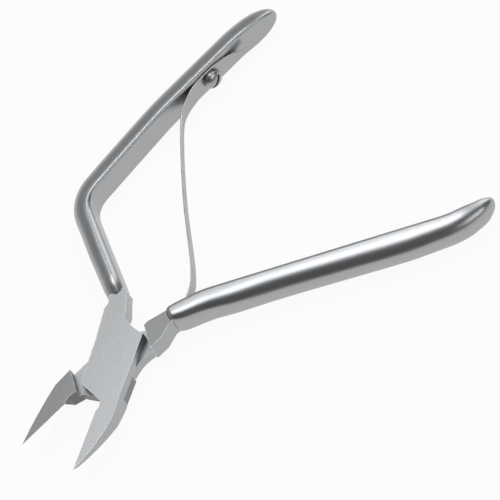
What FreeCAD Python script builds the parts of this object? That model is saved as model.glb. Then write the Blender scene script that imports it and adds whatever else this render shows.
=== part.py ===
"""Cuticle nipper: two crossed forgings on a flush rivet, held open by one leaf spring.

Frame: the origin is on the rivet's axis in the underside of the lap joint, +Z points out of
the upper face, +X towards the handles. Each half is drawn closed, with its jaw along -X and
its handle on +Y, then the straight half is mirrored and both are turned to the open position.
"""
import FreeCAD, Part
import math
import os

Vec = FreeCAD.Vector

# ---------------------------------------------------------------- driving dimensions, mm, degrees
JOINT_THICKNESS = 5.4       # both lap plates together
LAP_CLEARANCE = 0.05        # between the two plates
OPEN_HALF_ANGLE = 14.5      # each half, from the closed bite
JAW_LENGTH = 29.0           # rivet axis to jaw tip
BITE_OFFSET = 0.78          # closed bite line, measured from the rivet axis
BITE_CLEARANCE = 0.03       # each cutting edge, back from the bite line
TIP_THICKNESS = 0.45        # jaw at its tip, front to back
JAW_BACK_START = 10.6       # from the rivet axis to where the jaw's back starts to slope
BEVEL_SLOPE = 0.72          # how far the inner side falls back for each mm of depth
PLATE_HALF_WIDTH = 5.1
SKIRT_WIDTH = 0.55           # thin wall beside the bent half's lap recess
SKIRT_CLEARANCE = 0.3       # between it and the straight half's plate
SKIRT_REACH = 3.4           # its end, from the rivet axis
RIVET_RADIUS = 1.9
RIVET_HEAD_RADIUS = 2.6
RIVET_FLARE = 0.9           # depth of each flared end
RIVET_CLEARANCE = 0.04      # radial, in the straight half only
HANDLE_WIDTH = 7.6          # across the flat inner face
INNER_EDGE_RADIUS = 0.9     # along both sides of the flat inner face
NECK_EDGE_RADIUS = 2.7      # the same edges next to the joint
END_LENGTH = 9.0            # rounded end of a handle
SECTION_POWER = 2.6         # 2 is an ellipse, more is squarer
END_INSET = 0.25            # the rounded end's centre, as a share of the thickness
END_POWER = 2.15            # 2 rounds the end as an ellipse
SPRING_THICKNESS = 0.45
SCREW_SHANK_RADIUS = 1.15
SCREW_HEAD_RADIUS = 2.4
SCREW_HEAD_HEIGHT = 2.2
SCREW_RIM_HEIGHT = 0.9      # straight side of the head below its dome
SCREW_SLOT_WIDTH = 0.7
SCREW_SLOT_DEPTH = 0.8
SCREW_DEPTH = 3.0           # shank length inside the handle
SCREW_HOLE_CLEARANCE = 0.1  # radial, in the spring
SCREW_STATION = 72.6        # distance from the rivet axis along the bent handle's flat

MID_HEIGHT = JOINT_THICKNESS / 2


# ---------------------------------------------------------------- small helpers
def rotate(point, degrees):
    """A plan point turned about the rivet axis."""
    a = math.radians(degrees)
    return (point[0] * math.cos(a) - point[1] * math.sin(a), point[0] * math.sin(a) + point[1] * math.cos(a))


def prism(edges_or_points, low, high):
    """A closed plan outline, as points or as edges, raised from low to high."""
    first = edges_or_points[0]
    if isinstance(first, tuple):
        ring = [Vec(x, y, low) for x, y in edges_or_points]
        wire = Part.makePolygon(ring + ring[:1])
    else:
        wire = Part.Wire(edges_or_points)
    return Part.Face(wire).extrude(Vec(0, 0, high - low))


def line(a, b, z):
    return Part.LineSegment(Vec(a[0], a[1], z), Vec(b[0], b[1], z)).toShape()


def arc(a, mid, b, z):
    return Part.Arc(Vec(a[0], a[1], z), Vec(mid[0], mid[1], z), Vec(b[0], b[1], z)).toShape()


def stations(corners, radii, step):
    """Points and directions along straight runs joined by tangent arcs.

    corners are plan points, radii the bend at each inner corner. Returns [(point, angle)],
    with angle in radians, about a step apart on arcs and up to four steps on runs.
    """
    found = []
    start = corners[0]
    for i, radius in enumerate(radii, 1):
        before, here, after = corners[i - 1], corners[i], corners[i + 1]
        a0 = math.atan2(here[1] - before[1], here[0] - before[0])
        a1 = math.atan2(after[1] - here[1], after[0] - here[0])
        turn = a1 - a0
        back = radius * math.tan(abs(turn) / 2)
        enter = (here[0] - back * math.cos(a0), here[1] - back * math.sin(a0))
        run = math.dist(start, enter)
        parts = max(1, round(run / (4 * step)))
        found += [((start[0] + (enter[0] - start[0]) * k / parts, start[1] + (enter[1] - start[1]) * k / parts), a0)
                  for k in range(parts)]
        side = math.copysign(1, turn)
        centre = (enter[0] - side * radius * math.sin(a0), enter[1] + side * radius * math.cos(a0))
        bends = max(2, math.ceil(radius * abs(turn) / step))
        for k in range(bends + 1):
            a = a0 + turn * k / bends
            found.append(((centre[0] + side * radius * math.sin(a), centre[1] - side * radius * math.cos(a)), a))
        start = found.pop()[0]
    last = corners[-1]
    angle = math.atan2(last[1] - start[1], last[0] - start[0])
    run = math.dist(start, last)
    parts = max(1, round(run / step))
    found += [((start[0] + (last[0] - start[0]) * k / parts, start[1] + (last[1] - start[1]) * k / parts), angle)
              for k in range(parts + 1)]
    return found


def between(table, x):
    """Straight-line interpolation in [(x, value), ...]."""
    for (x0, v0), (x1, v1) in zip(table, table[1:]):
        if x <= x1:
            return v0 + (v1 - v0) * max(0.0, x - x0) / (x1 - x0)
    return table[-1][1]


# ---------------------------------------------------------------- handles
def handle_section(point, angle, inset, thickness, half_width, edge_radius):
    """One closed D-shaped section: flat inner face, rounded back, normal to the path."""
    out = Vec(-math.sin(angle), math.cos(angle), 0)
    base = Vec(point[0], point[1], MID_HEIGHT) + out * inset
    edge = min(edge_radius, 0.72 * half_width, 0.45 * thickness)

    def at(depth, height):
        return base + out * depth + Vec(0, 0, height)

    flat = Part.LineSegment(at(0, edge - half_width), at(0, half_width - edge)).toShape()
    nip = edge * (1 - math.sqrt(0.5))
    upper = Part.Arc(at(0, half_width - edge), at(nip, half_width - nip), at(edge, half_width)).toShape()
    lower = Part.Arc(at(edge, -half_width), at(nip, nip - half_width), at(0, edge - half_width)).toShape()
    count = 14
    points = []
    for k in range(count + 1):
        t = math.pi / 2 - math.pi * k / count
        depth = edge + (thickness - edge) * abs(math.cos(t)) ** (2 / SECTION_POWER)
        height = half_width * math.copysign(abs(math.sin(t)) ** (2 / SECTION_POWER), math.sin(t))
        points.append(at(depth, height))
    curve = Part.BSplineCurve()
    curve.interpolate(Points=points, InitialTangent=out, FinalTangent=out * -1)
    return Part.Wire([flat, upper, curve.toShape(), lower])


def on_path(path, lengths, s):
    """Point and angle at a length s along a list of stations."""
    for (p, a), (q, b), s0, s1 in zip(path, path[1:], lengths, lengths[1:]):
        if s <= s1 or s1 == lengths[-1]:
            t = (s - s0) / (s1 - s0)
            return (p[0] + (q[0] - p[0]) * t, p[1] + (q[1] - p[1]) * t), a + (b - a) * t


def handle(spec):
    """A handle lofted along its flat inner face, from inside the joint to its rounded end."""
    path = stations(spec["path"], spec["bends"], 1.5)
    nose_length = spec["nose"]
    lengths = [0.0]
    for (p, _), (q, _) in zip(path, path[1:]):
        lengths.append(lengths[-1] + math.dist(p, q))
    total = lengths[-1]
    nose = [nose_length * f for f in (0.0, 0.05, 0.16, 0.33, 0.6, 1.0)]
    end = [total - END_LENGTH * (1 - math.sin(math.radians(a))) for a in (0, 18, 34, 48, 60, 70, 78, 84.5)]
    body = [s for s in lengths if nose_length + 0.5 < s < total - END_LENGTH - 0.5]
    start_half = 0.86 * MID_HEIGHT
    sections = []
    for s in nose + body + end:
        point, angle = on_path(path, lengths, s)
        full = between(spec["thickness"], s)
        half_width, thickness, inset = HANDLE_WIDTH / 2, full, 0.0
        if s < nose_length:
            rise = math.sqrt(1 - (1 - s / nose_length) ** 2)
            half_width = start_half + (HANDLE_WIDTH / 2 - start_half) * rise
        if s > total - END_LENGTH:
            fall = (1 - ((s - total + END_LENGTH) / END_LENGTH) ** END_POWER) ** (1 / END_POWER)
            half_width *= fall
            thickness = full * fall
            inset = END_INSET * full * (1 - fall)
        edge_radius = between(spec["edges"], s)
        sections.append(handle_section(point, angle, inset, thickness, half_width, edge_radius))
    return Part.makeLoft(sections, True, True)


# ---------------------------------------------------------------- joint and jaw of one half
def shoulder_at_jaw(y):
    """x of the step between jaw and lap, at a given y of the closed half."""
    return -11.72 - 0.478 * y


def shoulder_at_root(y):
    """x of the step between lap and handle root, at a given y of the closed half."""
    return 9.28 - 0.475 * y


def jaw(spec, top, bottom):
    """The full-thickness jaw: flat front, sloping back, hollow inner side."""
    bite = spec["bite"]
    side = 0.25 - PLATE_HALF_WIDTH
    tip = (-JAW_LENGTH, bite)
    inner = (shoulder_at_jaw(bite), bite)
    outer = (shoulder_at_jaw(side), side)
    rim = [line(tip, inner, bottom), line(inner, outer, bottom), line(outer, spec["jaw_side"], bottom),
           arc(spec["jaw_side"], spec["jaw_belly"], tip, bottom)]
    blank = prism(rim, bottom, top)
    hollow = bevel_wedge(bite, top, spec["edge_start"])
    return blank.cut([back_wedge(top, bottom), hollow, notch(spec, top, bottom)])


def back_wedge(top, bottom):
    """What thins a jaw from the back, from the joint to the tip."""
    rise = (top - TIP_THICKNESS - bottom) / (JAW_LENGTH - JAW_BACK_START)
    over = 4.0
    near, far = -JAW_BACK_START, -JAW_LENGTH - over
    ring = [Vec(near, -12, bottom), Vec(far, -12, bottom + rise * (near - far)),
            Vec(far, -12, bottom - 1), Vec(near, -12, bottom - 1)]
    return Part.Face(Part.makePolygon(ring + ring[:1])).extrude(Vec(0, 24, 0))


def bevel_wedge(bite, top, start):
    """What hollows a jaw's inner side so that it meets the other in an edge at the front."""
    deep = JOINT_THICKNESS + 2

    def ring(x, x_back):
        return [Vec(x, bite, top), Vec(x_back, bite - BEVEL_SLOPE * deep, top - deep),
                Vec(x_back, bite + 3, top - deep), Vec(x, bite + 3, top)]

    near = ring(start, start + 0.4 * deep)
    far = ring(-JAW_LENGTH - 2, -JAW_LENGTH - 2)
    return Part.makeLoft([Part.makePolygon(near + near[:1]), Part.makePolygon(far + far[:1])], True, True)


def notch(spec, top, bottom):
    """The clearance notch between the cutting edge and the joint."""
    x = spec["edge_start"]
    over = spec["bite"] + 3
    ring = [(x, over), (x, spec["bite"]), spec["notch_floor"], spec["notch_end"],
            (-8.0, spec["notch_end"][1]), (-8.0, over)]
    return prism(ring, bottom - 1, top + 1)


def plate(spec, low, high):
    """One lap plate, with the part of the neck that lies in the same layer."""
    neck, corner = spec["neck"], spec["root_corner"]
    width = PLATE_HALF_WIDTH
    start, end = spec["notch_floor"], spec["notch_end"]
    rim = [
        *spec["plate_side"](low, corner),
        line(corner, spec["nose_side"], low),
        line(spec["nose_side"], spec["in_handle"][0], low),
        line(spec["in_handle"][0], spec["in_handle"][1], low),
        line(spec["in_handle"][1], neck[1], low),
        line(neck[1], neck[0], low),
        line(neck[0], (9.3, neck[0][1] - 0.15), low),
        arc((9.3, neck[0][1] - 0.15), (7.35, -1.7), (6.1, 0.05 - width), low),
        line((6.1, 0.05 - width), (-9.4, 0.05 - width), low),
        line((-9.4, 0.05 - width), (-12.9, -0.15 - width), low),
        line((-12.9, -0.15 - width), start, low),
        line(start, end, low),
    ]
    return prism(rim, low, high)


def bent_plate_side(low, corner):
    """The bent half's plate, from its jaw end along its outer side to the root."""
    width = PLATE_HALF_WIDTH
    return [line(BENT["notch_end"], (-8.6, width), low), line((-8.6, width), (2.4, width + 0.5), low),
            line((2.4, width + 0.5), corner, low)]


def straight_plate_side(low, corner):
    """The straight half's plate, narrowed by the other half's skirt and hollowed beside the root."""
    boss = PLATE_HALF_WIDTH + 0.4
    clear = PLATE_HALF_WIDTH - SKIRT_WIDTH - SKIRT_CLEARANCE
    a = math.pi - math.asin(clear / boss)
    start = (boss * math.cos(a), clear)
    middle = (boss * math.cos((a + math.pi / 2) / 2), boss * math.sin((a + math.pi / 2) / 2))
    root = shoulder_at_root(corner[1]) - 0.1
    return [line(STRAIGHT["notch_end"], (-8.9, clear), low), line((-8.9, clear), start, low),
            arc(start, middle, (0.0, boss), low), arc((0.0, boss), (3.3, boss - 0.8), (root, boss - 0.5), low),
            line((root, boss - 0.5), (root, corner[1]), low), line((root, corner[1]), corner, low)]


def skirt(top):
    """The thin wall that carries the bent jaw's side on, below its plate."""
    outer = 0.05 - PLATE_HALF_WIDTH
    inner = outer + SKIRT_WIDTH
    ring = [(shoulder_at_jaw(outer) - 1.0, outer), (-SKIRT_REACH, outer), (-SKIRT_REACH - 0.3, inner),
            (shoulder_at_jaw(inner) - 1.0, inner)]
    return prism(ring, 0.0, top)


def root(spec, low, high):
    """The full-thickness root between the lap and the handle's nose."""
    corner, neck = spec["root_corner"], spec["low_neck"]
    y = neck[0][1]
    ring = [(shoulder_at_root(corner[1]), corner[1]), corner, spec["nose_side"], spec["in_handle"][0],
            spec["in_handle"][1], neck[1], neck[0], (shoulder_at_root(y), y)]
    return prism(ring, low, high)


BENT = {
    "plate_side": bent_plate_side,
    "bite": -BITE_OFFSET - BITE_CLEARANCE,
    "edge_start": -14.3,
    "notch_floor": (-12.9, -1.3),
    "notch_end": (-11.35, -0.95),
    "jaw_side": (-15.2, -5.3),
    "jaw_belly": (-22.6, -3.45),
    "root_corner": (10.2, 6.4),
    "nose_side": (11.8, 5.95),
    "in_handle": [(13.6, 6.4), (16.2, 3.4)],
    "neck": [(10.6, 1.1), (15.2, 2.6)],
    "low_neck": [(10.9, 1.6), (15.0, 3.1)],
    "nose": 4.4,
    "path": [(14.6, 2.7), (16.9, 4.4), (35.85, 20.65), (60.02, 10.38), (81.04, -0.68), (90.7, -7.3)],
    "bends": [6.0, 6.0, 90.0, 22.0],
    "thickness": [(0, 4.5), (4, 4.9), (14, 5.1), (22, 5.0), (29, 5.1), (36, 5.25), (60, 5.2), (90, 5.1)],
    "edges": [(0, NECK_EDGE_RADIUS), (16, NECK_EDGE_RADIUS), (22, 2.2), (30, 1.2), (38, INNER_EDGE_RADIUS)],
}
STRAIGHT = {
    "plate_side": straight_plate_side,
    "bite": BITE_OFFSET - BITE_CLEARANCE,
    "edge_start": -15.8,
    "notch_floor": (-14.2, -0.1),
    "notch_end": (-11.25, 0.3),
    "jaw_side": (-14.2, -4.75),
    "jaw_belly": (-22.4, -2.0),
    "root_corner": (10.0, 5.5),
    "nose_side": (13.3, 4.4),
    "in_handle": [(14.6, 4.5), (17.0, 3.2)],
    "neck": [(10.6, 0.0), (15.1, 1.3)],
    "low_neck": [(10.6, 0.0), (15.1, 1.3)],
    "nose": 3.2,
    "path": [(14.61, 0.56), (23.8, 4.05), (73.6, 34.8), (78.8, 36.5), (83.1, 36.9)],
    "bends": [25.0, 18.0, 7.0],
    "thickness": [(0, 4.2), (4, 4.9), (9, 5.4), (16, 5.8), (30, 5.8), (52, 6.2), (58, 6.2), (66, 5.6), (76, 4.6)],
    "edges": [(0, 2.0), (8, 1.6), (20, INNER_EDGE_RADIUS)],
}


def forging(spec, low, high):
    """One whole half, closed, with its handle on +Y and its lap plate between low and high."""
    jaw_solid = jaw(spec, JOINT_THICKNESS, 0.0)
    root_solid = root(spec, 0.0, JOINT_THICKNESS)
    grip = handle(spec)
    head = plate(spec, low, high).fuse([root_solid, jaw_solid])
    if spec is BENT:
        head = head.fuse(skirt(low + 0.5))
    return head.fuse(grip).removeSplitter()


def rivet(radius, head_radius):
    """The flush rivet, or its bore when given larger radii."""
    top = JOINT_THICKNESS
    shaft = Part.makeCylinder(radius, top)
    lower = Part.makeCone(head_radius, radius, RIVET_FLARE)
    upper = Part.makeCone(radius, head_radius, RIVET_FLARE, Vec(0, 0, top - RIVET_FLARE))
    return shaft.fuse([lower, upper]).removeSplitter()


def open_bent(shape):
    """Turns a shape drawn with the closed bent half to the open position."""
    shape = shape.copy()
    shape.rotate(Vec(0, 0, 0), Vec(0, 0, 1), OPEN_HALF_ANGLE)
    return shape


def open_straight(shape):
    """Mirrors a shape drawn with the closed straight half, then opens it."""
    shape = shape.mirror(Vec(0, 0, 0), Vec(0, 1, 0))
    shape.rotate(Vec(0, 0, 0), Vec(0, 0, 1), -OPEN_HALF_ANGLE)
    return shape


# ---------------------------------------------------------------- leaf spring and its screw
def seat():
    """The screw's point on the bent handle's flat, and the flat's direction, opened."""
    a, b = (rotate(p, OPEN_HALF_ANGLE) for p in BENT["path"][3:5])
    span = math.dist(a, b)
    along = ((b[0] - a[0]) / span, (b[1] - a[1]) / span)
    reach = along[0] * a[0] + along[1] * a[1]
    inside = SCREW_STATION ** 2 - (a[0] ** 2 + a[1] ** 2) + reach ** 2
    t = -reach + math.sqrt(inside)
    return (a[0] + along[0] * t, a[1] + along[1] * t), along


SEAT_BEFORE = 3.6           # seated length from the screw towards the joint
SEAT_BEYOND = 5.0           # and towards the handle's end
BLADE = [(62.7, 22.6), (60.5, 22.4), (58.5, 21.95), (56.6, 21.15), (54.9, 20.1), (52.3, 18.25), (48.1, 15.15),
         (44.0, 11.95), (38.0, 7.05), (33.1, 2.7), (29.2, -0.8), (26.2, -3.35), (24.0, -4.95), (22.3, -5.95),
         (20.5, -6.55), (18.6, -6.95)]
BLADE_TIP = (79.3, 17.6)   # the free end beyond the screw
WIDTHS = [(18.0, 2.7), (18.9, 3.2), (21.0, 3.2), (26.0, 2.9), (36.0, 2.4), (46.0, 1.9), (53.0, 1.8), (56.5, 2.3),
          (60.0, 3.7), (63.5, 5.0), (67.0, 5.5), (71.5, 5.5), (74.5, 4.0), (78.6, 1.1), (79.9, 0.6)]


def leaf_spring():
    """A thin leaf: pointed, seated under the screw, then free as far as the other handle."""
    (sx, sy), (ax, ay) = seat()
    down = (ay, -ax)
    half = SPRING_THICKNESS / 2
    centre = (sx + down[0] * half, sy + down[1] * half)
    near = (centre[0] - ax * SEAT_BEFORE, centre[1] - ay * SEAT_BEFORE)
    far = (centre[0] + ax * SEAT_BEYOND, centre[1] + ay * SEAT_BEYOND)
    points = [near] + BLADE
    sides = {}
    for side in (half, -half):
        ring = []
        for i, p in enumerate(points):
            before = points[i - 1] if i else (p[0] + ax, p[1] + ay)
            after = points[i + 1] if i + 1 < len(points) else p
            if i == 0:
                after = (p[0] - ax, p[1] - ay)
            dx, dy = after[0] - before[0], after[1] - before[1]
            size = math.hypot(dx, dy)
            ring.append(Vec(p[0] - dy / size * side, p[1] + dx / size * side, 0))
        curve = Part.BSplineCurve()
        curve.interpolate(Points=ring, InitialTangent=Vec(-ax, -ay, 0), FinalTangent=ring[-1] - ring[-2])
        start = Vec(far[0] - down[0] * side * -1, far[1] - down[1] * side * -1, 0)
        lift = Part.BSplineCurve()
        tip = Vec(BLADE_TIP[0] + down[0] * side, BLADE_TIP[1] + down[1] * side, 0)
        lift.interpolate(Points=[tip, start], InitialTangent=Vec(-ax, -ay + 0.25, 0), FinalTangent=Vec(-ax, -ay, 0))
        sides[side] = (curve, lift, ring, start, tip)
    edges = []
    up, low = sides[half], sides[-half]
    for curve, lift, ring, start, tip in (up, low):
        edges += [lift.toShape(), Part.LineSegment(start, ring[0]).toShape(), curve.toShape()]
    edges.append(Part.LineSegment(up[2][-1], low[2][-1]).toShape())
    edges.append(Part.LineSegment(up[4], low[4]).toShape())
    ribbon = Part.Face(Part.Wire(Part.__sortEdges__(edges))).extrude(Vec(0, 0, 12))
    ribbon.translate(Vec(0, 0, MID_HEIGHT - 6))
    upper = [Vec(x, -20, MID_HEIGHT + w / 2) for x, w in WIDTHS]
    lower = [Vec(x, -20, MID_HEIGHT - w / 2) for x, w in reversed(WIDTHS)]
    outline = Part.Face(Part.makePolygon(upper + lower + upper[:1])).extrude(Vec(0, 60, 0))
    hole = cylinder_on_seat(SCREW_SHANK_RADIUS + SCREW_HOLE_CLEARANCE, -2, 3)
    return ribbon.common(outline).cut(hole)


def cylinder_on_seat(radius, start, end):
    """A cylinder on the screw's axis, from start to end; + is away from the handle's flat."""
    (sx, sy), (ax, ay) = seat()
    out = Vec(ay, -ax, 0)
    return Part.makeCylinder(radius, end - start, Vec(sx, sy, MID_HEIGHT) + out * start, out)


def spring_screw():
    """A slotted screw with a domed head, clamping the spring on the handle."""
    (sx, sy), (ax, ay) = seat()
    out = Vec(ay, -ax, 0)
    base = Vec(sx, sy, MID_HEIGHT)
    shank = cylinder_on_seat(SCREW_SHANK_RADIUS, -SCREW_DEPTH, SPRING_THICKNESS)
    head = cylinder_on_seat(SCREW_HEAD_RADIUS, SPRING_THICKNESS, SPRING_THICKNESS + SCREW_HEAD_HEIGHT)
    dome = SCREW_HEAD_HEIGHT - SCREW_RIM_HEIGHT
    ball_radius = (SCREW_HEAD_RADIUS ** 2 + dome ** 2) / (2 * dome)
    ball = Part.makeSphere(ball_radius, base + out * (SPRING_THICKNESS + SCREW_HEAD_HEIGHT - ball_radius))
    head = head.common(ball)
    top = SPRING_THICKNESS + SCREW_HEAD_HEIGHT
    corner = Vec(-6, -SCREW_SLOT_WIDTH / 2, top - SCREW_SLOT_DEPTH)
    slot = Part.makeBox(12, SCREW_SLOT_WIDTH, SCREW_SLOT_DEPTH + 1, corner)
    slot.rotate(Vec(0, 0, 0), Vec(0, 0, 1), 25)
    slot.Placement = FreeCAD.Placement(base, FreeCAD.Rotation(Vec(0, 0, 1), out)).multiply(slot.Placement)
    return shank.fuse(head).cut(slot).removeSplitter()


# ---------------------------------------------------------------- the parts
def bent_half():
    """The half with the kneed handle; its lap plate is the upper one and holds the rivet."""
    layer = MID_HEIGHT + LAP_CLEARANCE / 2
    body = open_bent(forging(BENT, layer, JOINT_THICKNESS))
    return body.cut([rivet(RIVET_RADIUS, RIVET_HEAD_RADIUS), cylinder_on_seat(SCREW_SHANK_RADIUS, -SCREW_DEPTH, 1)])


def straight_half():
    """The half with the nearly straight handle; it turns on the rivet, below the other plate."""
    layer = MID_HEIGHT - LAP_CLEARANCE / 2
    body = open_straight(forging(STRAIGHT, 0.0, layer))
    return body.cut(rivet(RIVET_RADIUS + RIVET_CLEARANCE, RIVET_HEAD_RADIUS + RIVET_CLEARANCE))


def pivot_rivet():
    """The rivet both halves are held by, ground flush with both faces."""
    return rivet(RIVET_RADIUS, RIVET_HEAD_RADIUS)


def main():
    """Writes every part in the open position."""
    os.makedirs("parts", exist_ok=True)
    for maker in (bent_half, straight_half, pivot_rivet, leaf_spring, spring_screw):
        shape = maker()
        if shape.ShapeType == "Compound" and len(shape.Solids) == 1:
            shape = shape.Solids[0]
        box = shape.optimalBoundingBox()
        corners = (box.XMin, box.YMin, box.ZMin, box.XMax, box.YMax, box.ZMax)
        print(maker.__name__, shape.ShapeType, shape.isValid(), len(shape.Solids), len(shape.Faces),
              round(shape.Volume, 1), [round(v, 2) for v in corners])
        shape.exportStep("parts/" + maker.__name__ + ".step")


main()
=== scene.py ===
"""Satin steel looks for a cuticle nipper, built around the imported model.

Shapes are drawn in millimetres with each half closed and its handle on +Y, then opened and scaled to metres.
"""

from __future__ import annotations

import logging
import math
from collections.abc import Callable, Iterator
from contextlib import contextmanager
from dataclasses import dataclass, field
from enum import Enum

import bmesh
import bpy
from mathutils import Matrix, Vector

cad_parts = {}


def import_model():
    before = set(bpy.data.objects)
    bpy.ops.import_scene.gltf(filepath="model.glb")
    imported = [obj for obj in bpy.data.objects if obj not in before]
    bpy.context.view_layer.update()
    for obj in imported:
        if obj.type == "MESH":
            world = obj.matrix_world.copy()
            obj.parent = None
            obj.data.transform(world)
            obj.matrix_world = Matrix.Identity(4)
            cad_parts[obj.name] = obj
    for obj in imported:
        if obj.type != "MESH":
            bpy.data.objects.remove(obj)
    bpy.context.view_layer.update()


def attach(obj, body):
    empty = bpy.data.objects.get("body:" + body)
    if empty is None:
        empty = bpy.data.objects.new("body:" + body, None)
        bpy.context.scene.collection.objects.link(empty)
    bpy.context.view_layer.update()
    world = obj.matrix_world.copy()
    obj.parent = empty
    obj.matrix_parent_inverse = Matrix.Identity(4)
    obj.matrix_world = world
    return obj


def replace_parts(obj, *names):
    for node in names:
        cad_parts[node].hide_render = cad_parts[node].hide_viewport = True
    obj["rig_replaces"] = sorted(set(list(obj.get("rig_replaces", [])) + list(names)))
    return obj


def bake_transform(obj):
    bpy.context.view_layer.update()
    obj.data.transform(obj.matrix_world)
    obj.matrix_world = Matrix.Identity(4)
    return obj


Point = tuple[float, float]
Place = tuple[float, float, float]
Table = list[Point]
Object = bpy.types.Object
Tree = bpy.types.NodeTree
Node = bpy.types.Node
Socket = bpy.types.NodeSocket
LOG = logging.getLogger("nipper")
MM = 0.001
THICKNESS = 5.4
MIDDLE = THICKNESS / 2
OPEN_HALF_ANGLE = math.radians(14.5)
SCREW_REACH = 72.6              # rivet axis to spring screw
WELD = 2e-4                     # points closer than this are one
TOUCH = 1e-6                    # what counts as level or in line
GRAIN_MAP = "grain"
# Name of the face attribute that scales a piece's colour: painted shade below 1, painted light above 1.
PAINTED_LIGHT = "tone"
ROUGH = "rough"


class Cut(Enum):
    """What a tool solid does to the piece it meets."""

    JOIN = "UNION"
    REMOVE = "DIFFERENCE"


class Layer(Enum):
    """Which half of the joint's thickness a lap plate takes."""

    UPPER = 1
    LOWER = -1


# ---------------------------------------------------------------- drawing and solid work
def between(table: Table, x: float) -> float:
    """Reads a value out of a table by straight lines.

    Args:
        table: Pairs of position and value, in rising order.
        x: The position to read.

    Returns:
        The value there, held level past both ends.
    """
    for (x0, v0), (x1, v1) in zip(table, table[1:]):
        if x <= x1:
            return v0 + (v1 - v0) * max(0.0, x - x0) / (x1 - x0)
    return table[-1][1]


def arc_points(start: Point, middle: Point, end: Point, count: int) -> list[Point]:
    """Points on the circle through three points, without the first.

    Args:
        start: Where the arc begins.
        middle: A point it passes.
        end: Where it ends.
        count: How many points to give.

    Returns:
        The points, the last being the end.
    """
    a, b, c = (complex(*p) for p in (start, middle, end))
    w = (c - a) / (b - a)
    centre = (b - a) * (w - abs(w) ** 2) / (2j * w.imag) + a
    radius = abs(a - centre)
    first = math.atan2((a - centre).imag, (a - centre).real)
    last = math.atan2((c - centre).imag, (c - centre).real)
    via = math.atan2((b - centre).imag, (b - centre).real)
    turn = (last - first) % math.tau
    if (via - first) % math.tau > turn:
        turn -= math.tau
    return [(centre.real + radius * math.cos(first + turn * k / count),
             centre.imag + radius * math.sin(first + turn * k / count)) for k in range(1, count + 1)]


def add_object(name: str, data: bpy.types.ID) -> Object:
    """Adds an object to the scene.

    Args:
        name: The object's name.
        data: Its mesh, lamp or lens.

    Returns:
        The object.
    """
    obj = bpy.data.objects.new(name, data)
    bpy.context.scene.collection.objects.link(obj)
    return obj


def wire(name: str, points: list[Vector | Place]) -> Object:
    """An open line of edges.

    Args:
        name: The object's name.
        points: Where it runs.

    Returns:
        The object.
    """
    mesh = bpy.data.meshes.new(name)
    mesh.from_pydata(points, [(i, i + 1) for i in range(len(points) - 1)], [])
    return add_object(name, mesh)


@contextmanager
def opened(mesh: bpy.types.Mesh) -> Iterator[bmesh.types.BMesh]:
    """Opens a mesh for work, and writes it back.

    Args:
        mesh: The mesh.

    Yields:
        Its geometry.
    """
    bm = bmesh.new()
    bm.from_mesh(mesh)
    yield bm
    bm.to_mesh(mesh)
    bm.free()


def place(bm: bmesh.types.BMesh, name: str) -> Object:
    """Turns worked geometry into an object with its faces outwards.

    Args:
        bm: The geometry, which is freed.
        name: The object's name.

    Returns:
        The object, linked to the scene.
    """
    bmesh.ops.recalc_face_normals(bm, faces=bm.faces)
    mesh = bpy.data.meshes.new(name)
    bm.to_mesh(mesh)
    bm.free()
    return add_object(name, mesh)


def loft(name: str, rings: list[list[Vector]], pole: Vector | None = None) -> Object:
    """A closed solid through rings of equal count.

    Args:
        name: The object's name.
        rings: The rings, in order.
        pole: A last point that closes the far end, instead of a flat face.

    Returns:
        The solid.
    """
    bm = bmesh.new()
    rows = [[bm.verts.new(p) for p in ring] for ring in rings]
    count = len(rings[0])
    for row, following in zip(rows, rows[1:]):
        for i in range(count):
            j = (i + 1) % count
            bm.faces.new((row[i], row[j], following[j], following[i]))
    bm.faces.new(rows[0])
    if pole is None:
        bm.faces.new(rows[-1])
    else:
        top = bm.verts.new(pole)
        for i in range(count):
            bm.faces.new((rows[-1][i], rows[-1][(i + 1) % count], top))
    return place(bm, name)


def prism(name: str, ring: list[Point], low: float, high: float) -> Object:
    """A plan outline raised between two heights, in millimetres."""
    return loft(name, [[Vector((x, y, z)) for x, y in ring] for z in (low, high)])


def swap_mesh(obj: Object) -> None:
    """Keeps what an object's modifiers give as its plain mesh, and takes the modifiers off.

    Args:
        obj: The object.
    """
    bpy.context.view_layer.update()
    shown = obj.evaluated_get(bpy.context.evaluated_depsgraph_get())
    mesh = bpy.data.meshes.new_from_object(shown)
    old = obj.data
    obj.modifiers.clear()
    obj.data = mesh
    mesh.name = obj.name
    bpy.data.meshes.remove(old)


def modify(obj: Object, kind: str, **settings: object) -> None:
    """Runs one modifier on an object and keeps the result.

    Args:
        obj: The object.
        kind: The modifier's type.
        settings: The modifier's properties.
    """
    step = obj.modifiers.new(kind.lower(), kind)
    for name, value in settings.items():
        setattr(step, name, value)
    swap_mesh(obj)


def carve(obj: Object, tool: Object, cut: Cut) -> None:
    """Joins a tool solid to a piece, or removes it, and deletes the tool."""
    modify(obj, "BOOLEAN", operation=cut.value, solver="EXACT", object=tool)
    bpy.data.objects.remove(tool)


def turn(obj: Object, angle: float) -> None:
    """Turns a piece's mesh about the pivot's axis, in radians."""
    obj.data.transform(Matrix.Rotation(angle, 4, "Z"))


def map_grain(obj: Object, spot: Callable[[Vector], Point]) -> None:
    """Lays the map that the brushed grain follows.

    Args:
        obj: The piece, in millimetres.
        spot: Gives a vertex's place on the map, first along the lines and then across.
    """
    layer = obj.data.uv_layers.get(GRAIN_MAP) or obj.data.uv_layers.new(name=GRAIN_MAP)
    places = [spot(vertex.co) for vertex in obj.data.vertices]
    for corner in obj.data.loops:
        layer.data[corner.index].uv = places[corner.vertex_index]


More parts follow.
